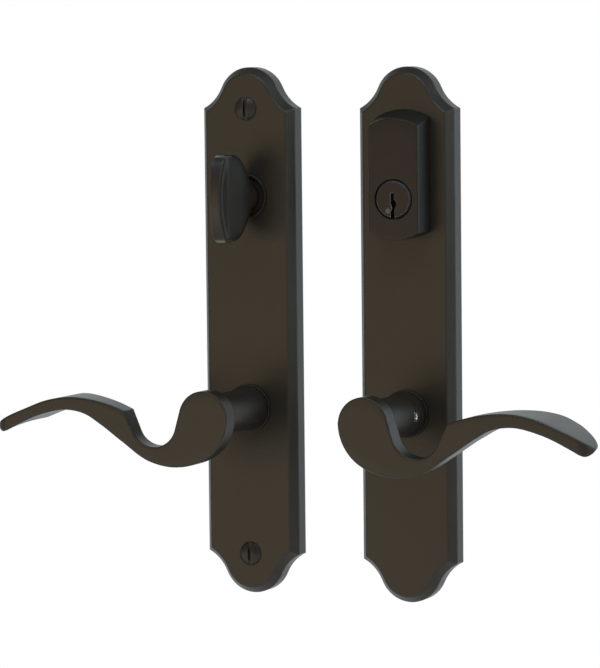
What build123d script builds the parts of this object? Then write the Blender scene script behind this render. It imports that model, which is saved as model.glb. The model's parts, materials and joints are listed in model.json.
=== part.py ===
from build123d import *
import math
import os

# Lever handle set for a hinged door: an interior trim with a thumb-turn and an exterior trim with a keyed
# cylinder, standing side by side with their backs on one plane. Millimetres, +Z up, fronts face -Y.
# The origin is the interior lever's axis where it crosses the back plane. A depth is counted forward from
# the back plane, so what reaches into the door has a negative depth.

# Backplates
plate_height = 190.5
plate_width = 36.4
plate_depth = 8.4
side_wall_depth = 5.4
bevel_width = 2.3
lobe_radius = 12.0
cove_radius = 15.0
shoulder_drop = 14.7
plate_spacing = 62.0
plate_rise = 27.5
rim_wall = 2.6
face_wall = 2.6

# Distances from the plates' ends, shared by both trims: thumb-turn and plug from the top, fixings from both
turn_margin = 46.25
fixing_margin = 14.75

# Clearances
running_gap = 0.05
end_gap = 0.3
seat_gap = 0.1

# Wave lever
lever_projection = 37.0
head_radius = 9.45
head_depth = 6.8
notch_radius = 9.3
notch_reach = 19.6
notch_drop = 2.5
beak_reach = 32.4
beak_rise = 0.1
beak_angle = 24.0
crest_reach = 52.0
crest_rise = 5.0
tip_reach = 86.5
tip_drop = 6.7
tip_angle = -25.0
tip_thickness = 3.2
heel_reach = 0.0
heel_drop = 15.2
belly_reach = 12.0
belly_drop = 18.1
ramp_reach = 37.7
ramp_drop = 8.0
arch_reach = 54.6
arch_rise = 0.3
grip_depth = 18.0
grip_start_reach = 27.0
tip_back_round = 8.0
tip_front_round = 4.0
lever_edge_round = 0.5
neck_radius = 7.4
neck_foot_radius = 8.1
neck_foot_depth = 1.0
neck_cove_depth = 3.0
shank_radius = 6.8
shank_flat = 5.9
shank_end = -1.4

# Lever bush, washer, cam, spring and ring behind the plate
bush_flange_radius = 8.6
bush_flange_depth = 1.0
bush_sleeve_radius = 7.7
bush_sleeve_end = 2.6
bush_boss_wall = 2.2
washer_radius = 9.0
washer_thickness = 0.5
cam_thickness = 1.2
cam_radius = 9.4
cam_arm_reach = 14.6
cam_arm_width = 6.0
cam_peg_radius = 1.3
cam_peg_reach = 13.2
cam_peg_length = 3.2
ring_thickness = 1.0
ring_radius = 8.6
ring_groove_depth = 0.5
ring_opening = 5.0
spring_wire_radius = 0.7
spring_radius = 11.4
spring_depth = 4.4
spring_leg_reach = 20.0
spring_bend_radius = 1.4
stop_lug_reach = 17.6
stop_lug_height = 3.0

# Square half-spindle and the set screw that holds it
spindle_width = 8.0
spindle_front = 24.0
spindle_length_behind = 22.0
set_screw_radius = 2.0
set_screw_depth = 15.9
set_screw_recess = 0.3
set_screw_socket = 2.0
set_screw_socket_depth = 1.6

# Thumb-turn
turn_height = 31.0
turn_thickness = 5.2
turn_projection = 25.3
turn_bow = 3.2
turn_base_radius = 5.4
turn_corner_round = 1.2
turn_swell = 0.58
turn_taper = 3
turn_waist = 0.75
turn_foot_crown = 0.02
turn_section_shares = (0.0, 0.12, 0.3, 0.5, 0.7, 0.86, 1.0)
turn_edge_round = 0.45
turn_shank_radius = 4.5
turn_shank_end = -2.6
turn_flange_radius = 8.05
turn_flange_depth = 1.0
turn_flange_lip = 0.9
turn_flange_recess = 0.7
turn_sleeve_radius = 6.0
turn_sleeve_end = 1.8
turn_boss_wall = 2.0
turn_washer_radius = 7.0
turn_washer_thickness = 0.8
turn_clip_radius = 7.2
turn_clip_thickness = 0.9
turn_clip_groove = 0.8
tail_width = 6.0
tail_thickness = 2.0
tail_length_behind = 26.0
tail_seat_depth = 6.0
tail_pin_radius = 0.8
tail_pin_depth = 4.0

# Oval-head plate screws
screw_head_radius = 4.1
screw_dome_height = 1.3
screw_sink_depth = 2.2
screw_radius = 2.4
screw_neck_radius = 2.1
screw_thread_start = -0.8
screw_length_behind = 22.0
screw_slot_width = 1.2
screw_slot_depth = 1.3
screw_boss_radius = 5.6

# Threaded posts of the exterior plate
post_radius = 4.25
post_bore_radius = 2.1
post_length_behind = 20.0
post_bore_length = 18.0
post_boss_wall = 2.2

# Cylinder block and the lock cylinder inside it
block_width = 21.8
block_height = 45.0
block_depth = 9.5
block_draft = 6.0
block_arch = 2.3
block_rise = 6.3
block_edge_round = 2.2
block_lip = 1.9
plug_window_radius = 7.1
shell_radius = 8.6
bible_width = 8.2
bible_height = 18.0
shell_end = -9.0
plug_radius = 6.7
plug_proud = 0.3
plug_rim_chamfer = 0.5
plug_tail_length = 3.0
plug_groove_depth = 0.9
plug_clip_thickness = 1.0
plug_clip_radius = 8.0
keyway_end = -5.0
pin_count = 5
pin_pitch = 4.0
first_pin_depth = 11.5
pin_radius = 1.4
key_pin_bottom = 2.4
driver_pin_length = 4.2
pin_spring_wall = 0.5
cap_width = 4.4
cap_thickness = 1.0
block_screw_radius = 1.5
block_screw_head_radius = 2.6
block_screw_head_height = 1.4
block_screw_grip = 5.0
block_screw_margin = 3.3

# Warded key slot across the plug, from its top beside the pins down through the plug's rim
keyway_points = [
    (-0.95, 2.2),
    (0.35, 2.2),
    (0.35, 0.2),
    (1.25, -0.9),
    (1.25, -2.6),
    (0.55, -3.5),
    (0.55, -plug_radius),
    (-0.95, -plug_radius),
    (-0.95, -4.4),
    (-0.35, -3.2),
    (-0.95, -1.6),
]

# Places worked out from the sizes above
trims = {"interior": 0.0, "exterior": plate_spacing}
pocket_depth = plate_depth - face_wall
turn_rise = plate_rise + plate_height / 2 - turn_margin
fixing_reach = plate_height / 2 - fixing_margin
fixing_heights = [plate_rise - fixing_reach, plate_rise + fixing_reach]
bush_front = plate_depth + bush_flange_depth
neck_foot = bush_front + end_gap
lever_front = plate_depth + lever_projection
head_back = lever_front - head_depth
washer_front = bush_sleeve_end - end_gap
cam_front = washer_front - washer_thickness
ring_front = cam_front - cam_thickness
spring_leg_gap = 2 * (cam_peg_radius + end_gap + spring_wire_radius)
turn_flange_front = plate_depth + turn_flange_depth
turn_foot = turn_flange_front + end_gap
turn_front = plate_depth + turn_projection
turn_washer_front = turn_sleeve_end - end_gap
turn_clip_front = turn_washer_front - turn_washer_thickness
block_front = plate_depth + block_depth
block_centre_height = turn_rise + block_rise
shell_front = block_front - block_lip
plug_front = block_front + plug_proud
plug_end = shell_end - plug_tail_length
pin_depths = [first_pin_depth - pin_pitch * i for i in range(pin_count)]
driver_pin_bottom = plug_radius + 2 * running_gap + seat_gap
driver_pin_top = driver_pin_bottom + driver_pin_length
cap_bottom = bible_height - cap_thickness
block_screw_heights = [
    turn_rise - shell_radius - block_screw_margin,
    turn_rise + bible_height + block_screw_margin,
]


def front_plane(x, z, depth):
    return Plane(origin=(x, -depth, z), x_dir=(1, 0, 0), z_dir=(0, -1, 0))


def turning_plane(x, z):
    return Plane(origin=(x, 0, z), x_dir=(1, 0, 0), z_dir=(0, 0, -1))


def turning_axis(x, z):
    return Axis((x, 0, z), (0, -1, 0))


# A half section given as radius and depth, ready to be revolved about an axis through the door
def half_section(x, z, *points):
    with BuildSketch(turning_plane(x, z)) as section:
        with BuildLine():
            Polyline(*points, close=True)
        make_face()
    return section.sketch


def rectangle_points(inner, outer, back, front):
    return (inner, back), (outer, back), (outer, front), (inner, front)


def write(piece, node):
    piece.part.label = node
    export_step(piece.part, f"parts/{node}.step")


os.makedirs("parts", exist_ok=True)


# Plate outline: straight sides, and at each end two coves that run into a round lobe
def plate_outline(x, depth, inset=0.0):
    half_width = plate_width / 2
    shoulder = plate_height / 2 - shoulder_drop
    lobe_centre = Vector(0, plate_height / 2 - lobe_radius)
    cusp = Vector(half_width, shoulder)
    reach = cusp - lobe_centre
    join = lobe_radius + cove_radius
    spread = math.acos((join**2 + reach.length**2 - cove_radius**2) / (2 * join * reach.length))
    bearing = math.atan2(reach.Y, reach.X) + spread
    toward_cove = Vector(math.cos(bearing), math.sin(bearing))
    cove_centre = lobe_centre + toward_cove * join
    meeting = lobe_centre + toward_cove * lobe_radius
    cove_middle = cove_centre + ((cusp + meeting) / 2 - cove_centre).normalized() * cove_radius
    lobe_bearing = (bearing + math.pi / 2) / 2
    lobe_middle = lobe_centre + Vector(math.cos(lobe_bearing), math.sin(lobe_bearing)) * lobe_radius
    with BuildSketch(front_plane(x, plate_rise, depth)) as outline:
        with BuildLine():
            Line((half_width, 0), cusp)
            ThreePointArc(cusp, cove_middle, meeting)
            ThreePointArc(meeting, lobe_middle, (0, plate_height / 2))
            mirror(about=Plane.YZ)
            mirror(about=Plane.XZ)
        make_face()
        if inset:
            offset(amount=-inset, kind=Kind.INTERSECTION, mode=Mode.REPLACE)
    return outline.sketch


# Cast plate: bevelled edge, hollow back, a boss and bore for the lever bush and the spring's stop lug
def plate_casting(x):
    bevel_depth = plate_depth - side_wall_depth
    with BuildPart() as casting:
        extrude(plate_outline(x, 0), amount=side_wall_depth)
        extrude(
            plate_outline(x, side_wall_depth),
            amount=bevel_depth,
            taper=math.degrees(math.atan2(bevel_width, bevel_depth)),
        )
        extrude(plate_outline(x, 0, inset=rim_wall), amount=pocket_depth, mode=Mode.SUBTRACT)
        with BuildSketch(front_plane(x, 0, bush_sleeve_end)):
            Circle(bush_sleeve_radius + bush_boss_wall)
        extrude(amount=pocket_depth - bush_sleeve_end)
        with BuildSketch(front_plane(x, stop_lug_reach, pocket_depth - stop_lug_height)):
            Circle(cam_peg_radius)
        extrude(amount=stop_lug_height)
        with BuildSketch(front_plane(x, 0, 0)):
            Circle(bush_sleeve_radius + seat_gap)
        extrude(amount=plate_depth, mode=Mode.SUBTRACT)
    return casting.part


# Interior plate: countersunk screw bosses and the thumb-turn's bore
with BuildPart() as interior_plate:
    add(plate_casting(trims["interior"]))
    with BuildSketch(front_plane(0, 0, 0)):
        with Locations(*[(0, height) for height in fixing_heights]):
            Circle(screw_boss_radius)
    extrude(amount=pocket_depth)
    with BuildSketch(front_plane(0, turn_rise, turn_sleeve_end)):
        Circle(turn_sleeve_radius + turn_boss_wall)
    extrude(amount=pocket_depth - turn_sleeve_end)
    with BuildSketch(front_plane(0, turn_rise, 0)):
        Circle(turn_sleeve_radius + seat_gap)
    extrude(amount=plate_depth, mode=Mode.SUBTRACT)
    for height in fixing_heights:
        sink = half_section(
            0,
            height,
            (0, 0),
            (screw_radius + seat_gap, 0),
            (screw_radius + seat_gap, plate_depth - screw_sink_depth),
            (screw_head_radius + seat_gap, plate_depth),
            (0, plate_depth),
        )
        revolve(sink, axis=turning_axis(0, height), mode=Mode.SUBTRACT)
write(interior_plate, "interior_plate")


# Cylinder outline: the round of the shell with the straight-sided pin housing above it
def shell_outline(depth, gap=0.0):
    with BuildSketch(front_plane(plate_spacing, turn_rise, depth)) as outline:
        Circle(shell_radius + gap)
        Rectangle(bible_width + 2 * gap, bible_height + gap, align=(Align.CENTER, Align.MIN))
    return outline.sketch


# Exterior plate: sockets for the threaded posts, the cylinder's opening and the block's screw holes
with BuildPart() as exterior_plate:
    add(plate_casting(trims["exterior"]))
    with BuildSketch(front_plane(plate_spacing, 0, 0)):
        with Locations(*[(0, height) for height in fixing_heights]):
            Circle(post_radius + post_boss_wall)
            Circle(post_radius + seat_gap, mode=Mode.SUBTRACT)
    extrude(amount=pocket_depth)
    extrude(shell_outline(0, seat_gap), amount=plate_depth, mode=Mode.SUBTRACT)
    with BuildSketch(front_plane(plate_spacing, 0, 0)):
        with Locations(*[(0, height) for height in block_screw_heights]):
            Circle(block_screw_radius + seat_gap)
    extrude(amount=plate_depth, mode=Mode.SUBTRACT)
write(exterior_plate, "exterior_plate")


# Lever side: round head, straight flank into the notch, sharp beak, wave-shaped grip and round belly
def lever_side():
    head = Vector(0, 0)
    notch = Vector(notch_reach, -notch_drop)
    beak = Vector(beak_reach, beak_rise)
    span = notch - head
    flank = math.atan2(span.Y, span.X) + math.acos((head_radius + notch_radius) / span.length)
    flank_way = Vector(math.cos(flank), math.sin(flank))
    wall = beak - notch
    rise = math.atan2(wall.Y, wall.X) - math.acos(notch_radius / wall.length)
    rise_way = Vector(math.cos(rise), math.sin(rise))
    flank_end = notch - flank_way * notch_radius
    tip_top = Vector(tip_reach, -tip_drop)
    tip_way = Vector(math.cos(math.radians(tip_angle)), math.sin(math.radians(tip_angle)))
    tip_foot = tip_top + Vector(tip_way.Y, -tip_way.X) * tip_thickness
    beak_way = (math.cos(math.radians(beak_angle)), math.sin(math.radians(beak_angle)))
    with BuildSketch(front_plane(0, 0, lever_front - grip_depth)) as side:
        with BuildLine():
            CenterArc(head, head_radius, math.degrees(flank), 180 - math.degrees(flank))
            Line(head + flank_way * head_radius, flank_end)
            ThreePointArc(flank_end, notch - Vector(0, notch_radius), notch + rise_way * notch_radius)
            Line(notch + rise_way * notch_radius, beak)
            Spline(beak, (crest_reach, crest_rise), tip_top, tangents=(beak_way, tip_way))
            Line(tip_top, tip_foot)
            heel = TangentArc((-head_radius, 0), (heel_reach, -heel_drop), tangent=(0, -1))
            Spline(
                heel @ 1,
                (belly_reach, -belly_drop),
                (ramp_reach, -ramp_drop),
                (arch_reach, arch_rise),
                tip_foot,
                tangents=(heel % 1, tip_way),
            )
        make_face()
    return side.sketch


# Lever seen from above: a straight front edge, and a grip that widens towards the door
def lever_plan():
    back = lever_front - grip_depth
    with BuildSketch(turning_plane(0, 0)) as plan:
        with BuildLine():
            Polyline(
                (grip_start_reach, head_back),
                (-head_radius, head_back),
                (-head_radius, lever_front),
                (tip_reach, lever_front),
                (tip_reach, back),
            )
            Spline((tip_reach, back), (grip_start_reach, head_back), tangents=((-1, 0), (-1, 0)))
        make_face()
        tip_corners = plan.vertices().group_by(Axis.X)[-1].sort_by(Axis.Y)
        fillet(tip_corners[0], tip_front_round)
        fillet(plan.vertices().group_by(Axis.X)[-1].sort_by(Axis.Y)[-1], tip_back_round)
    return plan.sketch


# Lever casting: wave body, round neck with a flared foot, shank with flats, square bore and screw hole
with BuildPart() as lever_pattern:
    extrude(lever_side(), amount=grip_depth)
    extrude(lever_plan(), amount=2 * belly_drop, both=True, mode=Mode.INTERSECT)
    front_edges = lever_pattern.faces().sort_by(Axis.Y)[0].edges()
    fillet(front_edges, lever_edge_round)
    neck = half_section(
        0,
        0,
        (0, shank_end),
        (shank_radius, shank_end),
        (shank_radius, neck_foot),
        (neck_foot_radius, neck_foot),
        (neck_foot_radius, neck_foot + neck_foot_depth),
        (neck_radius, neck_foot + neck_foot_depth + neck_cove_depth),
        (neck_radius, head_back + head_depth / 2),
        (0, head_back + head_depth / 2),
    )
    revolve(neck, axis=turning_axis(0, 0))
    with BuildSketch(front_plane(0, 0, shank_end)):
        Circle(shank_radius)
        Rectangle(2 * shank_flat, 2 * shank_radius, mode=Mode.SUBTRACT)
    extrude(amount=cam_front - shank_end, mode=Mode.SUBTRACT)
    groove_floor = shank_radius - ring_groove_depth
    groove_back = ring_front - ring_thickness
    groove = half_section(0, 0, *rectangle_points(groove_floor, ring_radius, groove_back, ring_front))
    revolve(groove, axis=turning_axis(0, 0), mode=Mode.SUBTRACT)
    with BuildSketch(front_plane(0, 0, shank_end)):
        Rectangle(spindle_width + 2 * running_gap, spindle_width + 2 * running_gap)
    extrude(amount=spindle_front + seat_gap - shank_end, mode=Mode.SUBTRACT)
    with BuildSketch(Plane.YZ):
        with Locations((-set_screw_depth, 0)):
            Circle(set_screw_radius + running_gap)
    extrude(amount=neck_foot_radius, mode=Mode.SUBTRACT)

with BuildPart() as exterior_lever:
    with Locations((plate_spacing, 0, 0)):
        add(lever_pattern.part)
write(exterior_lever, "exterior_lever")

with BuildPart() as interior_lever:
    mirror(lever_pattern.part, about=Plane.YZ)
write(interior_lever, "interior_lever")

# Set screw: a headless screw with a hexagon socket, its tip on the spindle's flat
with BuildPart() as set_screw_pattern:
    with BuildSketch(Plane.YZ.offset(spindle_width / 2)):
        with Locations((-set_screw_depth, 0)):
            Circle(set_screw_radius)
    extrude(amount=neck_radius - set_screw_recess - spindle_width / 2)
    with BuildSketch(Plane.YZ.offset(neck_radius - set_screw_recess)):
        with Locations((-set_screw_depth, 0)):
            RegularPolygon(set_screw_socket / 2, 6, major_radius=False)
    extrude(amount=-set_screw_socket_depth, mode=Mode.SUBTRACT)

with BuildPart() as exterior_set_screw:
    with Locations((plate_spacing, 0, 0)):
        add(set_screw_pattern.part)
write(exterior_set_screw, "exterior_lever_set_screw")

with BuildPart() as interior_set_screw:
    mirror(set_screw_pattern.part, about=Plane.YZ)
write(interior_set_screw, "interior_lever_set_screw")


# What each lever runs in and drives: bush, washer, spring cam, retaining ring, half-spindle and spring
for side, x in trims.items():
    with BuildPart() as bush:
        bush_half = half_section(
            x,
            0,
            (shank_radius + running_gap, bush_sleeve_end),
            (bush_sleeve_radius, bush_sleeve_end),
            (bush_sleeve_radius, plate_depth),
            (bush_flange_radius, plate_depth),
            (bush_flange_radius, bush_front),
            (shank_radius + running_gap, bush_front),
        )
        revolve(bush_half, axis=turning_axis(x, 0))
    write(bush, f"{side}_lever_bush")

    with BuildPart() as washer:
        with BuildSketch(front_plane(x, 0, cam_front)):
            Circle(washer_radius)
            Circle(shank_radius + running_gap, mode=Mode.SUBTRACT)
        extrude(amount=washer_thickness)
    write(washer, f"{side}_lever_washer")

    with BuildPart() as cam:
        with BuildSketch(front_plane(x, 0, ring_front)):
            Circle(cam_radius)
            Rectangle(cam_arm_width, cam_arm_reach, align=(Align.CENTER, Align.MIN))
            with BuildSketch(mode=Mode.SUBTRACT):
                Circle(shank_radius + running_gap)
                Rectangle(2 * (shank_flat + running_gap), 2 * cam_radius, mode=Mode.INTERSECT)
        extrude(amount=cam_thickness)
        with BuildSketch(front_plane(x, 0, cam_front)):
            with Locations((0, cam_peg_reach)):
                Circle(cam_peg_radius)
        extrude(amount=cam_peg_length)
    write(cam, f"{side}_spring_cam")

    with BuildPart() as retaining_ring:
        with BuildSketch(front_plane(x, 0, ring_front - ring_thickness)):
            Circle(ring_radius)
            Circle(shank_radius - ring_groove_depth + running_gap, mode=Mode.SUBTRACT)
            Rectangle(ring_opening, ring_radius, align=(Align.CENTER, Align.MAX), mode=Mode.SUBTRACT)
        extrude(amount=ring_thickness)
    write(retaining_ring, f"{side}_lever_retaining_ring")

    with BuildPart() as spindle:
        with BuildSketch(front_plane(x, 0, -spindle_length_behind)):
            Rectangle(spindle_width, spindle_width)
        extrude(amount=spindle_length_behind + spindle_front)
    write(spindle, f"{side}_spindle")

    with BuildPart() as spring:
        leg_angle = math.degrees(math.asin(spring_leg_gap / 2 / spring_radius))
        leg_foot = math.sqrt(spring_radius**2 - (spring_leg_gap / 2) ** 2)
        with BuildLine(front_plane(x, 0, spring_depth)) as wire:
            Line((-spring_leg_gap / 2, spring_leg_reach), (-spring_leg_gap / 2, leg_foot))
            CenterArc((0, 0), spring_radius, 90 + leg_angle, 360 - 2 * leg_angle)
            Line((spring_leg_gap / 2, leg_foot), (spring_leg_gap / 2, spring_leg_reach))
            bends = wire.vertices().filter_by(lambda v: abs(v.Z - leg_foot) < end_gap)
            fillet(bends, spring_bend_radius)
        with BuildSketch(Plane(origin=wire.line @ 0, z_dir=wire.line % 0)):
            Circle(spring_wire_radius)
        sweep(path=wire.line)
    write(spring, f"{side}_return_spring")


# Thumb-turn section at a share of its length: from the round foot to the blade the height swells, while the
# width and the corners shrink and the sides sink to a waist for the fingers
def turn_section(share):
    fade = (1 - share) ** turn_taper
    grown = min(1, share / (1 - turn_bow / (turn_front - turn_foot)))
    half_height = turn_base_radius + (turn_height / 2 - turn_base_radius) * grown**turn_swell
    half_width = turn_thickness / 2 + (turn_base_radius - turn_thickness / 2) * fade
    corner = turn_corner_round + (turn_base_radius - end_gap - turn_corner_round) * fade
    waist = half_width + turn_foot_crown * fade - turn_waist * (1 - fade)
    with BuildSketch(front_plane(0, turn_rise, turn_foot + (turn_front - turn_foot) * share)) as section:
        with BuildLine():
            side = half_height - corner
            Line((0, half_height), (half_width - corner, half_height))
            RadiusArc((half_width - corner, half_height), (half_width, side), corner)
            ThreePointArc((half_width, side), (waist, 0), (half_width, -side))
            RadiusArc((half_width, -side), (half_width - corner, -half_height), corner)
            Line((half_width - corner, -half_height), (0, -half_height))
            mirror(about=Plane.YZ)
        make_face()
    return section.sketch


# Thumb-turn: a paddle that grows from a round foot into a flat blade with a bowed front edge
with BuildPart() as thumb_turn:
    loft([turn_section(share) for share in turn_section_shares])
    with BuildSketch(Plane.YZ) as bow:
        with BuildLine():
            top = turn_rise + turn_height / 2
            foot = turn_rise - turn_height / 2
            bow_start = turn_bow - turn_front
            ThreePointArc((bow_start, foot), (-turn_front, turn_rise), (bow_start, top))
            Polyline((bow_start, top), (-turn_foot, top), (-turn_foot, foot), (bow_start, foot))
        make_face()
    extrude(amount=turn_base_radius, both=True, mode=Mode.INTERSECT)
    fillet(thumb_turn.faces().sort_by(Axis.Y)[0].edges(), turn_edge_round)
    with BuildSketch(front_plane(0, turn_rise, turn_shank_end)):
        Circle(turn_shank_radius)
    extrude(amount=turn_foot - turn_shank_end)
    clip_groove = half_section(
        0,
        turn_rise,
        *rectangle_points(
            turn_shank_radius - turn_clip_groove,
            turn_clip_radius,
            turn_clip_front - turn_clip_thickness,
            turn_clip_front,
        ),
    )
    revolve(clip_groove, axis=turning_axis(0, turn_rise), mode=Mode.SUBTRACT)
    with BuildSketch(front_plane(0, turn_rise, turn_shank_end)):
        Rectangle(tail_thickness + 2 * running_gap, tail_width + 2 * running_gap)
    extrude(amount=tail_seat_depth + seat_gap - turn_shank_end, mode=Mode.SUBTRACT)
    with BuildSketch(Plane.YZ):
        with Locations((-tail_pin_depth, turn_rise)):
            Circle(tail_pin_radius + running_gap)
    extrude(amount=turn_shank_radius, both=True, mode=Mode.SUBTRACT)
write(thumb_turn, "thumb_turn")

with BuildPart() as turn_bush:
    turn_bush_half = half_section(
        0,
        turn_rise,
        (turn_shank_radius + running_gap, turn_sleeve_end),
        (turn_sleeve_radius, turn_sleeve_end),
        (turn_sleeve_radius, plate_depth),
        (turn_flange_radius, plate_depth),
        (turn_flange_radius, turn_flange_front),
        (turn_flange_radius - turn_flange_lip, turn_flange_front),
        (turn_flange_radius - turn_flange_lip, turn_flange_front - turn_flange_recess),
        (turn_shank_radius + running_gap, turn_flange_front - turn_flange_recess),
    )
    revolve(turn_bush_half, axis=turning_axis(0, turn_rise))
write(turn_bush, "thumb_turn_bush")

with BuildPart() as turn_washer:
    with BuildSketch(front_plane(0, turn_rise, turn_clip_front)):
        Circle(turn_washer_radius)
        Circle(turn_shank_radius + running_gap, mode=Mode.SUBTRACT)
    extrude(amount=turn_washer_thickness)
write(turn_washer, "thumb_turn_washer")

with BuildPart() as turn_clip:
    with BuildSketch(front_plane(0, turn_rise, turn_clip_front - turn_clip_thickness)):
        Circle(turn_clip_radius)
        Circle(turn_shank_radius - turn_clip_groove + running_gap, mode=Mode.SUBTRACT)
        Rectangle(turn_shank_radius, turn_clip_radius, align=(Align.CENTER, Align.MAX), mode=Mode.SUBTRACT)
    extrude(amount=turn_clip_thickness)
write(turn_clip, "thumb_turn_clip")

with BuildPart() as turn_tail:
    with BuildSketch(front_plane(0, turn_rise, -tail_length_behind)):
        Rectangle(tail_thickness, tail_width)
    extrude(amount=tail_length_behind + tail_seat_depth)
    with BuildSketch(Plane.YZ):
        with Locations((-tail_pin_depth, turn_rise)):
            Circle(tail_pin_radius + running_gap)
    extrude(amount=tail_thickness, both=True, mode=Mode.SUBTRACT)
write(turn_tail, "thumb_turn_tailpiece")

with BuildPart() as turn_pin:
    with BuildSketch(Plane.YZ):
        with Locations((-tail_pin_depth, turn_rise)):
            Circle(tail_pin_radius)
    extrude(amount=turn_shank_radius - seat_gap * 2, both=True)
write(turn_pin, "thumb_turn_cross_pin")

# Plate screws: slotted oval heads, a reduced neck through the plate and a long thread behind it
with BuildPart() as plate_screws:
    for height in fixing_heights:
        with BuildSketch(turning_plane(0, height)):
            with BuildLine():
                head_rim = (screw_head_radius, plate_depth)
                head_crown = (0, plate_depth + screw_dome_height)
                dome_radius = (screw_head_radius**2 + screw_dome_height**2) / (2 * screw_dome_height)
                Polyline(
                    head_crown,
                    (0, -screw_length_behind),
                    (screw_radius, -screw_length_behind),
                    (screw_radius, screw_thread_start),
                    (screw_neck_radius, screw_thread_start),
                    (screw_neck_radius, plate_depth - screw_sink_depth),
                    head_rim,
                )
                RadiusArc(head_rim, head_crown, -dome_radius)
            make_face()
        revolve(axis=turning_axis(0, height))
        with BuildSketch(front_plane(0, height, plate_depth + screw_dome_height)):
            Rectangle(screw_slot_width, 2 * screw_head_radius)
        extrude(amount=-screw_slot_depth, mode=Mode.SUBTRACT)
write(plate_screws, "plate_screws")

# Threaded posts that take the plate screws from the other side of the door
with BuildPart() as posts:
    with BuildSketch(front_plane(plate_spacing, 0, -post_length_behind)):
        with Locations(*[(0, height) for height in fixing_heights]):
            Circle(post_radius)
    extrude(amount=post_length_behind + pocket_depth)
    with BuildSketch(front_plane(plate_spacing, 0, -post_length_behind)):
        with Locations(*[(0, height) for height in fixing_heights]):
            Circle(post_bore_radius)
    extrude(amount=post_bore_length, mode=Mode.SUBTRACT)
write(posts, "threaded_posts")

# Cylinder block: drafted sides, arched ends, a window for the plug and a pocket for the cylinder
with BuildPart() as block:
    with BuildSketch(front_plane(plate_spacing, block_centre_height, plate_depth)):
        with BuildLine():
            side_top = block_height / 2 - block_arch
            half_block = block_width / 2
            Line((half_block, -side_top), (half_block, side_top))
            ThreePointArc((half_block, side_top), (0, block_height / 2), (-half_block, side_top))
            Line((-half_block, side_top), (-half_block, -side_top))
            ThreePointArc((-half_block, -side_top), (0, -block_height / 2), (half_block, -side_top))
        make_face()
    extrude(amount=block_depth, taper=block_draft)
    upright_edges = block.faces().sort_by(Axis.Y)[0].edges().filter_by(Axis.Z)
    fillet(upright_edges, block_edge_round)
    extrude(shell_outline(plate_depth, seat_gap), amount=shell_front - plate_depth, mode=Mode.SUBTRACT)
    with BuildSketch(front_plane(plate_spacing, turn_rise, plate_depth)):
        Circle(plug_window_radius)
    extrude(amount=block_depth, mode=Mode.SUBTRACT)
    with BuildSketch(front_plane(plate_spacing, 0, plate_depth)):
        with Locations(*[(0, height) for height in block_screw_heights]):
            Circle(block_screw_radius + running_gap)
    extrude(amount=block_screw_grip + seat_gap, mode=Mode.SUBTRACT)
write(block, "cylinder_block")

with BuildPart() as block_screws:
    with BuildSketch(front_plane(plate_spacing, 0, pocket_depth - block_screw_head_height)):
        with Locations(*[(0, height) for height in block_screw_heights]):
            Circle(block_screw_head_radius)
    extrude(amount=block_screw_head_height)
    with BuildSketch(front_plane(plate_spacing, 0, pocket_depth)):
        with Locations(*[(0, height) for height in block_screw_heights]):
            Circle(block_screw_radius)
    extrude(amount=face_wall + block_screw_grip)
    with BuildSketch(front_plane(plate_spacing, 0, pocket_depth - block_screw_head_height)):
        with Locations(*[(0, height) for height in block_screw_heights]):
            Rectangle(2 * block_screw_head_radius, block_screw_radius / 2)
    extrude(amount=block_screw_head_height / 2, mode=Mode.SUBTRACT)
write(block_screws, "cylinder_block_screws")

# Cylinder shell: plug bore, pin chambers and the groove for the cap strip
with BuildPart() as shell:
    extrude(shell_outline(shell_end), amount=shell_front - shell_end)
    with BuildSketch(front_plane(plate_spacing, turn_rise, shell_end)):
        Circle(plug_radius + running_gap)
    extrude(amount=shell_front - shell_end, mode=Mode.SUBTRACT)
    with BuildSketch(Plane.XY.offset(turn_rise)):
        with Locations(*[(plate_spacing, -depth) for depth in pin_depths]):
            Circle(pin_radius + running_gap)
    extrude(amount=bible_height, mode=Mode.SUBTRACT)
    with BuildSketch(front_plane(plate_spacing, turn_rise + cap_bottom, shell_end)):
        Rectangle(cap_width + 2 * running_gap, cap_thickness, align=(Align.CENTER, Align.MIN))
    extrude(amount=shell_front - shell_end, mode=Mode.SUBTRACT)
write(shell, "cylinder_shell")

with BuildPart() as cap:
    with BuildSketch(front_plane(plate_spacing, turn_rise + cap_bottom, shell_end)):
        Rectangle(cap_width, cap_thickness, align=(Align.CENTER, Align.MIN))
    extrude(amount=shell_front - shell_end)
write(cap, "pin_chamber_cap")

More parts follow.
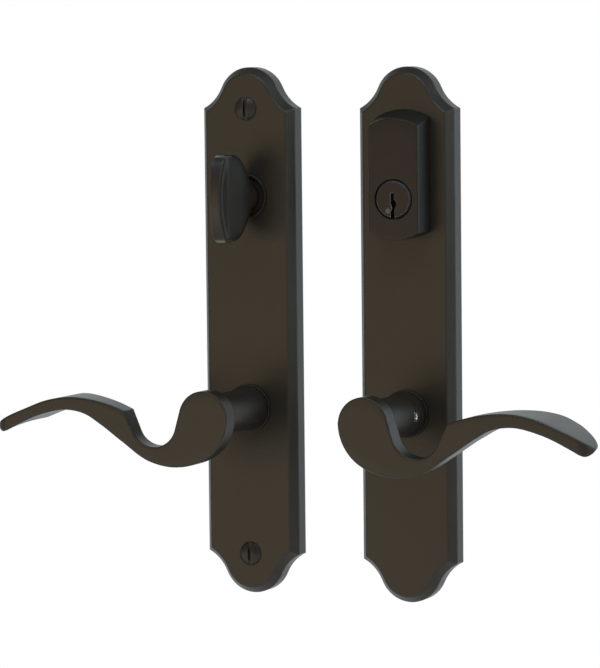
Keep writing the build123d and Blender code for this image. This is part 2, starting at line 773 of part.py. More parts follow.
# Plug: turned core with a chamfered rim, the key slot, pin holes, clip groove and tailpiece slot
with BuildPart() as plug:
    plug_half = half_section(
        plate_spacing,
        turn_rise,
        (0, plug_end),
        (plug_radius, plug_end),
        (plug_radius, plug_front - plug_rim_chamfer),
        (plug_radius - plug_rim_chamfer, plug_front),
        (0, plug_front),
    )
    revolve(plug_half, axis=turning_axis(plate_spacing, turn_rise))
    with BuildSketch(front_plane(plate_spacing, turn_rise, keyway_end)):
        with BuildLine():
            Polyline(*keyway_points, close=True)
        make_face()
    extrude(amount=plug_front - keyway_end, mode=Mode.SUBTRACT)
    with BuildSketch(Plane.XY.offset(turn_rise)):
        with Locations(*[(plate_spacing, -depth) for depth in pin_depths]):
            Circle(pin_radius + running_gap)
    extrude(amount=plug_radius, mode=Mode.SUBTRACT)
    plug_groove = half_section(
        plate_spacing,
        turn_rise,
        *rectangle_points(
            plug_radius - plug_groove_depth,
            plug_clip_radius,
            shell_end - end_gap - plug_clip_thickness,
            shell_end - end_gap,
        ),
    )
    revolve(plug_groove, axis=turning_axis(plate_spacing, turn_rise), mode=Mode.SUBTRACT)
    with BuildSketch(front_plane(plate_spacing, turn_rise, plug_end)):
        Rectangle(tail_thickness + 2 * running_gap, tail_width + 2 * running_gap)
    extrude(amount=tail_seat_depth, mode=Mode.SUBTRACT)
write(plug, "cylinder_plug")

with BuildPart() as plug_clip:
    with BuildSketch(front_plane(plate_spacing, turn_rise, shell_end - end_gap - plug_clip_thickness)):
        Circle(plug_clip_radius)
        Circle(plug_radius - plug_groove_depth + running_gap, mode=Mode.SUBTRACT)
        Rectangle(plug_radius, plug_clip_radius, align=(Align.CENTER, Align.MAX), mode=Mode.SUBTRACT)
    extrude(amount=plug_clip_thickness)
write(plug_clip, "cylinder_plug_clip")

with BuildPart() as plug_tail:
    with BuildSketch(front_plane(plate_spacing, turn_rise, -tail_length_behind)):
        Rectangle(tail_thickness, tail_width)
    extrude(amount=tail_length_behind + plug_end + tail_seat_depth)
write(plug_tail, "cylinder_tailpiece")


# Five pin stacks at the shear line: key pins in the plug, drivers and springs in the shell
def pin_stack(bottom, top, bore=0.0):
    with BuildPart() as stack:
        with BuildSketch(Plane.XY.offset(turn_rise + bottom)):
            with Locations(*[(plate_spacing, -depth) for depth in pin_depths]):
                Circle(pin_radius)
                if bore:
                    Circle(bore, mode=Mode.SUBTRACT)
        extrude(amount=top - bottom)
    return stack


key_pin_top = math.sqrt(plug_radius**2 - pin_radius**2) - running_gap
write(pin_stack(key_pin_bottom, key_pin_top), "key_pins")
write(pin_stack(driver_pin_bottom, driver_pin_top), "driver_pins")
write(pin_stack(driver_pin_top, cap_bottom, bore=pin_radius - pin_spring_wall), "pin_springs")
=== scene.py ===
import bpy
import json
import math
import numpy as np
from mathutils import Matrix


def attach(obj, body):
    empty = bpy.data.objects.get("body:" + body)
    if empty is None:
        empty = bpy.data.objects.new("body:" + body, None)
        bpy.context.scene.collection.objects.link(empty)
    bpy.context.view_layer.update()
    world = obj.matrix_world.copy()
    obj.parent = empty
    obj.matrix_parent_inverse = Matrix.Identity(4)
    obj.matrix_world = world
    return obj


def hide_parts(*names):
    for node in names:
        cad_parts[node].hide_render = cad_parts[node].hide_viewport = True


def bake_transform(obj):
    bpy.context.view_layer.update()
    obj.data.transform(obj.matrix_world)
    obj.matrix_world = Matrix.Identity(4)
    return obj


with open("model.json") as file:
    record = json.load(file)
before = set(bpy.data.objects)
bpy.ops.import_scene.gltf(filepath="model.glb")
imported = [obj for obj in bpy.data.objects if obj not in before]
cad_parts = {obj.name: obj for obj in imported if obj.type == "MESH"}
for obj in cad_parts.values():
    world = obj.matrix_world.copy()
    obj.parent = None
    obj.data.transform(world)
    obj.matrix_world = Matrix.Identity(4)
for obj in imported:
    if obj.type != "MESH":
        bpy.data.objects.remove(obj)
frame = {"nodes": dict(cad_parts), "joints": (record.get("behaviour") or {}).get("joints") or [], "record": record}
nodes = frame["nodes"]
scene = bpy.context.scene
scene.view_settings.view_transform = "Standard"
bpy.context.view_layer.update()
pivots = {joint["child"]: joint["pos_m"] for joint in frame["joints"]}
plugAxis = (pivots["plug_body"][0], pivots["plug_body"][2])
turnHeight = pivots["thumb_turn_body"][2]
sides = {"interior": -1, "exterior": 1}  # the way that each lever points along X
print("frame loaded:", len(nodes), "pieces")


# small helpers for node trees
def makeGroup(name, inputs, outputs):
    tree = bpy.data.node_groups.new(name, "ShaderNodeTree")
    for label, kind, value in inputs:
        tree.interface.new_socket(label, in_out="INPUT", socket_type=kind).default_value = value
    for label, kind in outputs:
        tree.interface.new_socket(label, in_out="OUTPUT", socket_type=kind)
    return tree, tree.nodes.new("NodeGroupInput"), tree.nodes.new("NodeGroupOutput")


def addNode(tree, kind, **settings):
    node = tree.nodes.new(kind)
    for key, value in settings.items():
        setattr(node, key, value)
    return node


def setInputs(node, **values):
    for key, value in values.items():
        node.inputs[key].default_value = value
    return node


def calc(tree, operation, first, second=None, clamp=False):
    node = addNode(tree, "ShaderNodeMath", operation=operation, use_clamp=clamp)
    for index, value in enumerate((first, second)):
        if value is None:
            continue
        if isinstance(value, (int, float)):
            node.inputs[index].default_value = value
        else:
            tree.links.new(value, node.inputs[index])
    return node.outputs[0]


# a Mix node takes its two colours in sockets 6 and 7 and gives their mix in output 2
def blendColours(tree, mask, first, second):
    node = addNode(tree, "ShaderNodeMix", data_type="RGBA")
    tree.links.new(mask, node.inputs["Factor"])
    for index, value in ((6, first), (7, second)):
        if isinstance(value, tuple):
            node.inputs[index].default_value = (*value, 1)
        else:
            tree.links.new(value, node.inputs[index])
    return node.outputs[2]


# effects shared by several finishes
# mottle: a broad soft noise with a finer one on top, as a patina that was rubbed by hand
mottleShape = dict(broad=dict(Detail=3.0, Roughness=0.55), fine=dict(Detail=4.0, Roughness=0.6),
                   fineScale=7.3, fineShare=0.3, middle=0.5)


def makeMottle(shape):
    tree, start, end = makeGroup(
        "patinaMottle",
        [("Scale", "NodeSocketFloat", 40.0), ("Contrast", "NodeSocketFloat", 1.0)],
        [("Mask", "NodeSocketFloat")],
    )
    place = addNode(tree, "ShaderNodeTexCoord")
    broad = setInputs(addNode(tree, "ShaderNodeTexNoise"), **shape["broad"])
    fine = setInputs(addNode(tree, "ShaderNodeTexNoise"), **shape["fine"])
    tree.links.new(place.outputs["Object"], broad.inputs["Vector"])
    tree.links.new(place.outputs["Object"], fine.inputs["Vector"])
    tree.links.new(start.outputs["Scale"], broad.inputs["Scale"])
    tree.links.new(calc(tree, "MULTIPLY", start.outputs["Scale"], shape["fineScale"]), fine.inputs["Scale"])
    both = calc(tree, "ADD", calc(tree, "MULTIPLY", broad.outputs["Fac"], 1 - shape["fineShare"]),
                calc(tree, "MULTIPLY", fine.outputs["Fac"], shape["fineShare"]))
    spread = calc(tree, "MULTIPLY", calc(tree, "SUBTRACT", both, shape["middle"]), start.outputs["Contrast"])
    tree.links.new(calc(tree, "ADD", spread, shape["middle"], clamp=True), end.inputs["Mask"])
    return tree


# grain: one fine noise, the tiny orange peel of a cast and lacquered skin
grainShape = dict(Detail=2.0, Roughness=0.5)


def makeGrain(shape):
    tree, start, end = makeGroup(
        "castGrain",
        [("Scale", "NodeSocketFloat", 1500.0)],
        [("Height", "NodeSocketFloat")],
    )
    place = addNode(tree, "ShaderNodeTexCoord")
    skin = setInputs(addNode(tree, "ShaderNodeTexNoise"), **shape)
    tree.links.new(place.outputs["Object"], skin.inputs["Vector"])
    tree.links.new(start.outputs["Scale"], skin.inputs["Scale"])
    tree.links.new(skin.outputs["Fac"], end.inputs["Height"])
    return tree


# edge rub: how far the rounded normal leans from the flat one, so it is 1 on worn edges and 0 on faces
rubShape = dict(samples=6)


def makeEdgeRub(shape):
    tree, start, end = makeGroup(
        "edgeRub",
        [("Radius", "NodeSocketFloat", 0.0005), ("Gain", "NodeSocketFloat", 3.0)],
        [("Mask", "NodeSocketFloat"), ("Normal", "NodeSocketVector")],
    )
    soft = addNode(tree, "ShaderNodeBevel", **shape)
    flat = addNode(tree, "ShaderNodeNewGeometry")
    lean = addNode(tree, "ShaderNodeVectorMath", operation="DOT_PRODUCT")
    tree.links.new(start.outputs["Radius"], soft.inputs["Radius"])
    tree.links.new(soft.outputs["Normal"], lean.inputs[0])
    tree.links.new(flat.outputs["Normal"], lean.inputs[1])
    away = calc(tree, "SUBTRACT", 1.0, lean.outputs["Value"])
    tree.links.new(calc(tree, "MULTIPLY", away, start.outputs["Gain"], clamp=True), end.inputs["Mask"])
    tree.links.new(soft.outputs["Normal"], end.inputs["Normal"])
    return tree


mottle, grain, edgeRub = makeMottle(mottleShape), makeGrain(grainShape), makeEdgeRub(rubShape)
print("effects ready")


# finishes
# a metal skin: two tones mixed by the mottle, a third on rubbed edges, roughness that follows the mottle, and a
# painted tint on its reflections
def makeMetal(name, look):
    material = bpy.data.materials.new(name)
    material.use_nodes = True
    tree = material.node_tree
    shader = tree.nodes["Principled BSDF"]
    setInputs(shader, IOR=look["ior"])
    shader.inputs["Specular IOR Level"].default_value = look["specular"]
    # painted sheen: the reflections take a cool blue tint, standing in for the blue light from the right
    shader.inputs["Specular Tint"].default_value = (*look["sheen"], 1)
    patches = setInputs(addNode(tree, "ShaderNodeGroup", node_tree=mottle), Scale=look["mottleScale"],
                        Contrast=look["mottleContrast"])
    rub = setInputs(addNode(tree, "ShaderNodeGroup", node_tree=edgeRub), Radius=look["edgeRadius"],
                    Gain=look["edgeGain"])
    peel = setInputs(addNode(tree, "ShaderNodeGroup", node_tree=grain), Scale=look["grainScale"])
    tone = blendColours(tree, patches.outputs["Mask"], look["deep"], look["light"])
    worn = calc(tree, "MULTIPLY", rub.outputs["Mask"], look["edgeShare"])
    tree.links.new(blendColours(tree, worn, tone, look["rubbed"]), shader.inputs["Base Color"])
    bare = calc(tree, "MULTIPLY", worn, look["edgeMetal"])
    tree.links.new(calc(tree, "MAXIMUM", bare, look["metallic"]), shader.inputs["Metallic"])
    low, high = look["roughness"]
    rough = calc(tree, "ADD", calc(tree, "MULTIPLY", patches.outputs["Mask"], high - low), low)
    polish = calc(tree, "SUBTRACT", 1.0, calc(tree, "MULTIPLY", rub.outputs["Mask"], look["edgePolish"]))
    rough = calc(tree, "MULTIPLY", rough, polish)
    tree.links.new(rough, shader.inputs["Roughness"])
    bump = setInputs(addNode(tree, "ShaderNodeBump"), Strength=look["grainStrength"],
                     Distance=look["grainDepth"])
    tree.links.new(peel.outputs["Height"], bump.inputs["Height"])
    tree.links.new(rub.outputs["Normal"], bump.inputs["Normal"])
    tree.links.new(bump.outputs["Normal"], shader.inputs["Normal"])
    return material


# the bronze's reflection tint is a painted cool sheen, standing in for the blue light at the right
bronzeLook = dict(
    deep=(0.022, 0.0155, 0.0095), light=(0.034, 0.0250, 0.0160), rubbed=(0.066, 0.055, 0.043),
    metallic=0.3, ior=1.5, specular=0.42, sheen=(0.74, 0.89, 0.97), roughness=(0.34, 0.43), edgePolish=0.5,
    mottleScale=28.0, mottleContrast=1.5, edgeRadius=0.0007, edgeGain=4.0, edgeShare=0.45, edgeMetal=0.6,
    grainScale=1400.0, grainStrength=0.18, grainDepth=0.0002,
)
steelLook = dict(
    bronzeLook, deep=(0.34, 0.34, 0.33), light=(0.46, 0.45, 0.43), rubbed=(0.55, 0.54, 0.52), metallic=1.0,
    sheen=(1.0, 1.0, 1.0), roughness=(0.3, 0.42), mottleScale=90.0,
)
bareLook = dict(
    steelLook, deep=(0.62, 0.60, 0.57), light=(0.75, 0.73, 0.69), rubbed=(0.8, 0.78, 0.75),
    roughness=(0.22, 0.3), mottleScale=300.0,
)
brassLook = dict(
    steelLook, deep=(0.44, 0.32, 0.13), light=(0.56, 0.42, 0.19), rubbed=(0.62, 0.48, 0.24),
    roughness=(0.28, 0.4), mottleScale=120.0,
)
nylonLook = dict(
    bronzeLook, deep=(0.66, 0.65, 0.60), light=(0.75, 0.74, 0.69), rubbed=(0.78, 0.77, 0.73), metallic=0.0,
    sheen=(1.0, 1.0, 1.0), roughness=(0.5, 0.6), mottleScale=200.0, mottleContrast=0.8,
)
plateLook = dict(bronzeLook, edgeRadius=0.0012)
shadedLook = dict(bronzeLook, deep=(0.016, 0.0110, 0.0075), light=(0.025, 0.0180, 0.0125), specular=0.3)
bushLook = dict(shadedLook, edgeShare=0.1)
blockLook = dict(shadedLook, edgeShare=0.25, edgePolish=0.3)
plugLook = dict(shadedLook, rubbed=(0.34, 0.33, 0.33), edgeShare=0.6, edgePolish=0.6, edgeMetal=1.0,
                edgeRadius=0.0005)
# where another metal shows: the plug's core in the key slot, a bluish metal spot beside the slot as a painted
# highlight, the turn's worn ends
coreLook = dict(behind=-0.0177, within=0.0058, axis=plugAxis, colour=(0.42, 0.31, 0.15), metal=1.0,
                roughness=0.36)
glintSpotLook = dict(centre=(plugAxis[0] - 0.0019, plugAxis[1] - 0.0041), radius=0.0012, soft=0.0006,
                 colour=(0.075, 0.085, 0.1), metal=1.0, roughness=0.4)
wearLook = dict(axis=turnHeight, start=0.0145, soft=0.0008, front=-0.024, colour=(0.22, 0.21, 0.19),
                metal=1.0, roughness=0.3)


# the point's own coordinates on the piece
def splitPlace(tree):
    place = addNode(tree, "ShaderNodeTexCoord")
    parts = addNode(tree, "ShaderNodeSeparateXYZ")
    tree.links.new(place.outputs["Object"], parts.inputs[0])
    return parts.outputs


# distance from a line that runs along Y through the centre
def distanceFrom(tree, place, centre):
    aside = calc(tree, "SUBTRACT", place["X"], centre[0])
    above = calc(tree, "SUBTRACT", place["Z"], centre[1])
    return calc(tree, "SQRT", calc(tree, "ADD", calc(tree, "MULTIPLY", aside, aside),
                                   calc(tree, "MULTIPLY", above, above)))


# another metal over the skin, wherever the mask is 1
def coverWith(tree, mask, look):
    shader = tree.nodes["Principled BSDF"]
    sockets = ("Base Color", "Metallic", "Roughness")
    skin, metal, rough = (shader.inputs[key].links[0].from_socket for key in sockets)
    tree.links.new(blendColours(tree, mask, skin, look["colour"]), shader.inputs["Base Color"])
    covered = calc(tree, "MULTIPLY", mask, look["metal"])
    tree.links.new(calc(tree, "MAXIMUM", covered, metal), shader.inputs["Metallic"])
    kept = calc(tree, "MULTIPLY", rough, calc(tree, "SUBTRACT", 1.0, mask))
    added = calc(tree, "MULTIPLY", mask, look["roughness"])
    tree.links.new(calc(tree, "ADD", kept, added), shader.inputs["Roughness"])


# core: wherever the point lies behind the plug's face and inside its plain rim
def addCore(material, look):
    tree = material.node_tree
    place = splitPlace(tree)
    inside = calc(tree, "LESS_THAN", distanceFrom(tree, place, look["axis"]), look["within"])
    deep = calc(tree, "GREATER_THAN", place["Y"], look["behind"])
    coverWith(tree, calc(tree, "MULTIPLY", inside, deep), look)
    return material


# painted highlight: a round spot with a soft edge, where the plug's face catches light beside the slot
def addGlintSpot(material, look):
    tree = material.node_tree
    gap = calc(tree, "SUBTRACT", look["radius"], distanceFrom(tree, splitPlace(tree), look["centre"]))
    coverWith(tree, calc(tree, "DIVIDE", gap, look["soft"], clamp=True), look)
    return material


# wear: grows with the height above or below the turn's axis, on its front half only
def addWear(material, look):
    tree = material.node_tree
    place = splitPlace(tree)
    height = calc(tree, "ABSOLUTE", calc(tree, "SUBTRACT", place["Z"], look["axis"]))
    share = calc(tree, "DIVIDE", calc(tree, "SUBTRACT", height, look["start"]), look["soft"], clamp=True)
    ahead = calc(tree, "LESS_THAN", place["Y"], look["front"])
    coverWith(tree, calc(tree, "MULTIPLY", share, ahead), look)
    return material


finishes = {
    "dark_bronze": makeMetal("darkBronze", bronzeLook),
    "plated_steel": makeMetal("platedSteel", steelLook),
    "bare_steel": makeMetal("bareSteel", bareLook),
    "cylinder_brass": makeMetal("cylinderBrass", brassLook),
    "nylon": makeMetal("nylon", nylonLook),
}
plateBronze, bushBronze = makeMetal("plateBronze", plateLook), makeMetal("bushBronze", bushLook)
ownFinish = {
    "interior_plate": plateBronze,
    "exterior_plate": plateBronze,
    "interior_lever_bush": bushBronze,
    "exterior_lever_bush": bushBronze,
    "thumb_turn_bush": bushBronze,
    "cylinder_block": makeMetal("blockBronze", blockLook),
    # the plug's skin carries a painted highlight, a bluish metal spot beside the key slot
    "cylinder_plug": addCore(addGlintSpot(makeMetal("plugBronze", plugLook), glintSpotLook), coreLook),
    "thumb_turn": addWear(makeMetal("turnBronze", bronzeLook), wearLook),
}
for part in frame["record"]["subparts"]:
    mesh = nodes[part["node"]].data
    mesh.materials.clear()
    mesh.materials.append(ownFinish.get(part["node"], finishes[part["material_slot"]]))


# thumb-turn: sections along its depth, each a superellipse whose power grows from the circle of the foot to
# the blade's. The height stays round along the neck and then swells as one minus a power of what is left of
# the blade, and the width fades as a cube. A groove that is a parabola over the height and a hump over the
# depth runs along both sides of the front. The front falls back by a parabola in the height, and by a high
# power of it at the ends
turnSize = dict(
    axis=turnHeight, foot=0.0097, neck=0.0121, full=0.0280, front=0.0340, bow=0.0034, endDrop=0.0013,
    endPower=12, halfHeight=0.0155, baseRadius=0.0051, halfWidth=0.0026, swell=4.3, taper=3, power=7.0,
    groove=0.0012, grooveReach=0.0046, grooveShape=(0.6, 2.2), edgeRound=0.0005, longPoints=49,
    shortPoints=13, rows=72, gather=1.3, fallPower=3, roundRows=7, capRows=7,
    shank=((0.0, -0.0026), (0.0045, -0.0026), (0.0045, -0.0002), (0.0037, -0.0002), (0.0037, 0.0007),
           (0.0045, 0.0007), (0.0045, 0.0097), (0.0051, 0.0097)),
    shankPoints=64,
)


# closed rows of points become quads, each row joined to the next
def joinRows(count, columns, start=0):
    row, column = np.meshgrid(np.arange(count - 1), np.arange(columns), indexing="ij")
    after = (column + 1) % columns
    corners = np.stack([row * columns + column, row * columns + after, (row + 1) * columns + after,
                        (row + 1) * columns + column], -1)
    return corners.reshape(-1, 4) + start


def makeTurn(size):
    longWay = np.linspace(-1, 1, size["longPoints"])[:-1]
    shortWay = np.linspace(-1, 1, size["shortPoints"])[:-1]
    side, end = np.ones(len(longWay)), np.ones(len(shortWay))
    across = np.concatenate([side, -shortWay, -side, shortWay])
    upright = np.concatenate([longWay, end, -longWay, -end])
    length = size["front"] - size["edgeRound"] - size["foot"]
    share = np.linspace(0, 1, size["rows"])[:, None] ** size["gather"]
    fade = (1 - share) ** size["taper"]
    power = size["power"] + (2 - size["power"]) * fade
    left = np.clip((size["full"] - size["foot"] - share * length) / (size["full"] - size["neck"]), 0, 1)
    grown = 1 - left ** size["swell"]
    high = size["baseRadius"] + (size["halfHeight"] - size["baseRadius"]) * grown
    wide = size["halfWidth"] + (size["baseRadius"] - size["halfWidth"]) * fade
    norm = (np.abs(across) ** power + np.abs(upright) ** power) ** (1 / power)
    x, z = wide * across / norm, high * upright / norm
    behind = np.clip((1 - share) * length / size["grooveReach"], 0, 1)
    hump = (1 - behind) * (size["grooveShape"][0] + size["grooveShape"][1] * behind)
    x = x * (1 - size["groove"] / wide * hump * (1 - (z / high) ** 2))
    lag = np.abs(z) / size["halfHeight"]
    lag = size["bow"] * lag**2 + size["endDrop"] * lag ** size["endPower"]
    depth = size["foot"] + length * share - lag * share ** size["fallPower"]
    turn = np.linspace(0, math.pi / 2, size["roundRows"])[1:, None]
    roundShare = size["edgeRound"] * (1 - np.cos(turn))
    roundX, roundZ = x[-1] * (1 - roundShare / wide[-1]), z[-1] * (1 - roundShare / high[-1])
    roundDepth = depth[-1] + size["edgeRound"] * np.sin(turn)
    narrow = np.linspace(1, 0, size["capRows"])[1:, None]
    capX, capZ = roundX[-1] * narrow, roundZ[-1] + 0 * narrow
    capDepth = roundDepth[-1] + 0 * narrow
    x, z = np.concatenate([x, roundX, capX]), np.concatenate([z, roundZ, capZ])
    depth = np.concatenate([depth, roundDepth, capDepth])
    points = np.stack([x, -depth, z + size["axis"]], -1).reshape(-1, 3)
    faces = joinRows(len(x), len(across))
    around = np.linspace(0, 2 * math.pi, size["shankPoints"], endpoint=False)
    for first, last in zip(size["shank"][:-1], size["shank"][1:]):
        ring = np.array([[radius * np.cos(around), -deep + 0 * around, radius * np.sin(around) + size["axis"]]
                         for radius, deep in (first, last)]).transpose(0, 2, 1).reshape(-1, 3)
        faces = np.concatenate([faces, joinRows(2, len(around), len(points))])
        points = np.concatenate([points, ring])
    return points, faces


sharpAngle = math.radians(35)  # edges that turn more than this stay crisp


# a surface becomes a smooth piece of the scene, attached to its body when it has one
def addPiece(name, points, faces, body, slot, finish):
    mesh = bpy.data.meshes.new(name)
    mesh.from_pydata(points.tolist(), [], faces.tolist())
    mesh.polygons.foreach_set("use_smooth", np.ones(len(faces), bool))
    mesh.set_sharp_from_angle(angle=sharpAngle)
    mesh.materials.append(finish)
    piece = bpy.data.objects.new(name, mesh)
    scene.collection.objects.link(piece)
    if body:
        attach(piece, body)
    return piece


paddle = addPiece("thumbTurnPaddle", *makeTurn(turnSize), "thumb_turn_body", "dark_bronze",
                  ownFinish["thumb_turn"])
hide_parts("thumb_turn")
print("thumb-turn made:", len(paddle.data.polygons), "faces")


# cylinder block: closed sections from the plate to the front, each with two straight sides and two circular
# arches. Width, top and bottom change evenly with the depth, so the top slopes most. The front edge is a
# quarter circle, and the front runs in to the plug's window along rays from the plug's axis. The window's
# wall and the shell's bore run back to the plate, where the back closes the block
blockSize = dict(
    axis=plugAxis, back=0.0084, front=0.0179, halfWidth=(0.0102, 0.0095), top=(0.1078, 0.1048),
    bottom=(0.0622, 0.0620), arch=0.0027, edgeRound=0.0003, window=0.0071, windowEnd=0.0160, bore=0.0088,
    sidePoints=49, sideRows=12, roundRows=6, frontRows=5,
)


def makeBlock(size):
    turn = np.linspace(0, math.pi / 2, size["roundRows"])[1:]
    flat = np.linspace(size["back"], size["front"] - size["edgeRound"], size["sideRows"])
    depth = np.concatenate([flat, size["front"] - size["edgeRound"] * (1 - np.sin(turn))])[:, None]
    inset = np.concatenate([0 * flat, size["edgeRound"] * (1 - np.cos(turn))])[:, None]
    share = (depth - size["back"]) / (size["front"] - size["back"])
    spans = (size["halfWidth"], size["top"], size["bottom"])
    wide, top, bottom = (first + (last - first) * share for first, last in spans)
    wide, top, bottom = wide - inset, top - inset, bottom + inset
    along = np.linspace(-1, 1, size["sidePoints"])[:-1]
    radius = (wide**2 + size["arch"] ** 2) / (2 * size["arch"])
    drop = radius - np.sqrt(radius**2 - (wide * along) ** 2)
    middle, half = (top + bottom) / 2, (top - bottom) / 2 - size["arch"]
    x = np.concatenate([wide + 0 * along, -wide * along, -wide + 0 * along, wide * along], 1)
    z = np.concatenate([middle + half * along, top - drop, middle - half * along, bottom + drop], 1)
    around = np.arctan2(z[-1] - size["axis"][1], x[-1])
    inwards = np.linspace(0, 1, size["frontRows"])[1:, None]
    rings = np.array([[size["window"]], [size["bore"]], [size["bore"]]])
    ringX, ringZ = rings * np.cos(around), rings * np.sin(around) + size["axis"][1]
    x = np.concatenate([x, x[-1] + (ringX[0] - x[-1]) * inwards, ringX, x[:1]])
    z = np.concatenate([z, z[-1] + (ringZ[0] - z[-1]) * inwards, ringZ, z[:1]])
    ends = np.array([[size["windowEnd"]], [size["windowEnd"]], [size["back"]], [size["back"]]])
    depth = np.concatenate([depth, size["front"] + 0 * inwards, ends])
    points = np.stack([x + size["axis"][0], -depth + 0 * x, z], -1).reshape(-1, 3)
    return points, joinRows(len(x), x.shape[1])


block = addPiece("cylinderBlockSkin", *makeBlock(blockSize), "plates", "dark_bronze",
                 ownFinish["cylinder_block"])
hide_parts("cylinder_block")
print("cylinder block made:", len(block.data.polygons), "faces")


# lever: upright sections along its reach, with rounded front edges. The upper line is the head's circle, its
# tangent into the notch's circle, a straight wall to the beak and a smooth curve to the tip. The lower line
# is an arc and a smooth curve. The back is the head's plane and then a leaf-shaped curve, which gets thin at
# the tip, and an ellipse rounds the tip's front. The neck is a turned profile with flats at its end, and a
# round hole in it lets the set screw show
leverSize = dict(
    front=0.0454, headRadius=0.00945, notch=(0.0199, -0.0020), notchRadius=0.0091,
    beak=(0.0316, 0.0014), edgeRound=0.0005, tipRound=(0.0055, 0.0043), thinBack=(0.011, 0.75),
    crest=((0.0372, 0.0033), (0.0476, 0.0053), (0.0537, 0.0056), (0.0634, 0.0041), (0.0718, 0.0010),
           (0.0808, -0.0029), (0.0846, -0.0051)),
    heel=(0.0075, 0.0), heelTurn=math.radians(60),
    belly=((0.012, -0.0181), (0.0215, -0.0164), (0.0328, -0.0095), (0.0414, -0.0037), (0.0476, -0.0003),
           (0.0543, 0.0009), (0.0658, -0.0012), (0.0778, -0.0064), (0.0800, -0.0075), (0.0817, -0.0079),
           (0.0831, -0.0074), (0.0841, -0.0065), (0.0846, -0.0053)),
    leaf=((0.027, 0.0386), (0.045, 0.0345), (0.0538, 0.0305), (0.0613, 0.0252), (0.067, 0.0235),
          (0.0725, 0.0252), (0.0775, 0.0295), (0.0815, 0.0340), (0.0838, 0.0380), (0.0846, 0.0411)),
    neck=((0.0068, -0.0014), (0.0068, -0.0004), (0.0063, -0.0004), (0.0063, 0.0006), (0.0068, 0.0006),
          (0.0068, 0.0097), (0.0081, 0.0097), (0.0081, 0.0107), (0.0074, 0.0136), (0.0074, 0.0420)),
    flat=0.0059, flatEnd=0.0018, neckColumns=64,
    hole=dict(depth=0.0159, radius=0.00205, floor=0.0045, margin=1.1, rows=7, columns=4),
    headPoints=72, notchPoints=48, wallPoints=6, crestPoints=110, heelPoints=20, bellyPoints=1200,
    leafPoints=400, roundPoints=5, facePoints=7,
)


# a smooth curve through points: cubic pieces whose slopes follow the neighbours, along the chord length
def smoothCurve(corners, count):
    corners = np.array(corners)
    along = np.concatenate([[0], np.cumsum(np.linalg.norm(np.diff(corners, axis=0), axis=1))])
    slope = np.gradient(corners, along, axis=0)
    place = np.linspace(0, along[-1], count)
    piece = np.clip(np.searchsorted(along, place, "right") - 1, 0, len(along) - 2)
    width = (along[piece + 1] - along[piece])[:, None]
    t = ((place - along[piece]) / width[:, 0])[:, None]
    return ((1 + 2 * t) * (1 - t) ** 2 * corners[piece] + t * (1 - t) ** 2 * width * slope[piece]
            + t**2 * (3 - 2 * t) * corners[piece + 1] + t**2 * (t - 1) * width * slope[piece + 1])


# points on a circle from one angle to another
def onCircle(centre, radius, first, last, count):
    turn = np.linspace(first, last, count)
    return np.stack([centre[0] + radius * np.cos(turn), centre[1] + radius * np.sin(turn)], 1)


# the tangent leaves the head at the angle flank, and the wall leaves the notch at the angle rise
def upperLine(size):
    notch, beak = np.array(size["notch"]), np.array(size["beak"])
    reach, radius = np.hypot(*notch), size["notchRadius"]
    flank = math.atan2(notch[1], notch[0]) + math.acos((size["headRadius"] + radius) / reach)
    wall = beak - notch
    rise = math.atan2(wall[1], wall[0]) - math.acos(radius / np.hypot(*wall))
    head = onCircle((0, 0), size["headRadius"], math.pi, flank, size["headPoints"])
    bowl = onCircle(notch, radius, flank + math.pi, rise + 2 * math.pi, size["notchPoints"])
    slope = np.linspace(bowl[-1], beak, size["wallPoints"])[1:-1]
    return np.concatenate([head, bowl, slope, smoothCurve([beak, *size["crest"]], size["crestPoints"])])


def makeLever(size):
    upper = upperLine(size)
    x, high = upper[:, :1], upper[:, 1:]
    heelRadius = size["heel"][0] + size["headRadius"]
    heel = onCircle(size["heel"], heelRadius, math.pi, math.pi + size["heelTurn"], size["heelPoints"])
    belly = smoothCurve([*heel, *size["belly"]], size["bellyPoints"])
    leaf = smoothCurve(size["leaf"], size["leafPoints"])
    low = np.interp(x, belly[:, 0], belly[:, 1])
    back = np.interp(x, leaf[:, 0], leaf[:, 1])
    length, drop = size["tipRound"]
    beyond = np.clip((x - x[-1] + length) / length, 0, 1)
    front = size["front"] - drop * (1 - np.sqrt(1 - beyond**2))
    thinLength, thinShare = size["thinBack"]
    thin = thinShare * (high - low) * np.clip((x - x[-1] + thinLength) / thinLength, 0, 1)
    edge = np.minimum(size["edgeRound"], np.minimum((high - low) / 3, (front - back) / 3))  # a third at most
    bend = np.linspace(0, math.pi / 2, size["roundPoints"])
    share = np.linspace(0, 1, size["facePoints"])[1:-1]
    depth = np.concatenate([front - edge * (1 - np.sin(bend)), front + 0 * share,
                            front - edge * (1 - np.cos(bend)), front - edge + (back - front + edge) * share,
                            back, back + 0 * share, back, back + (front - edge - back) * share], 1)
    z = np.concatenate([high - edge * (1 - np.cos(bend)), high - edge + (low - high + 2 * edge) * share,
                        low + edge * (1 - np.sin(bend)), low + thin * share, low + thin,
                        low + thin + (high - low - thin) * share, high, high + 0 * share], 1)
    return np.stack([x + 0 * z, -depth, z], -1).reshape(-1, 3), joinRows(*z.shape)


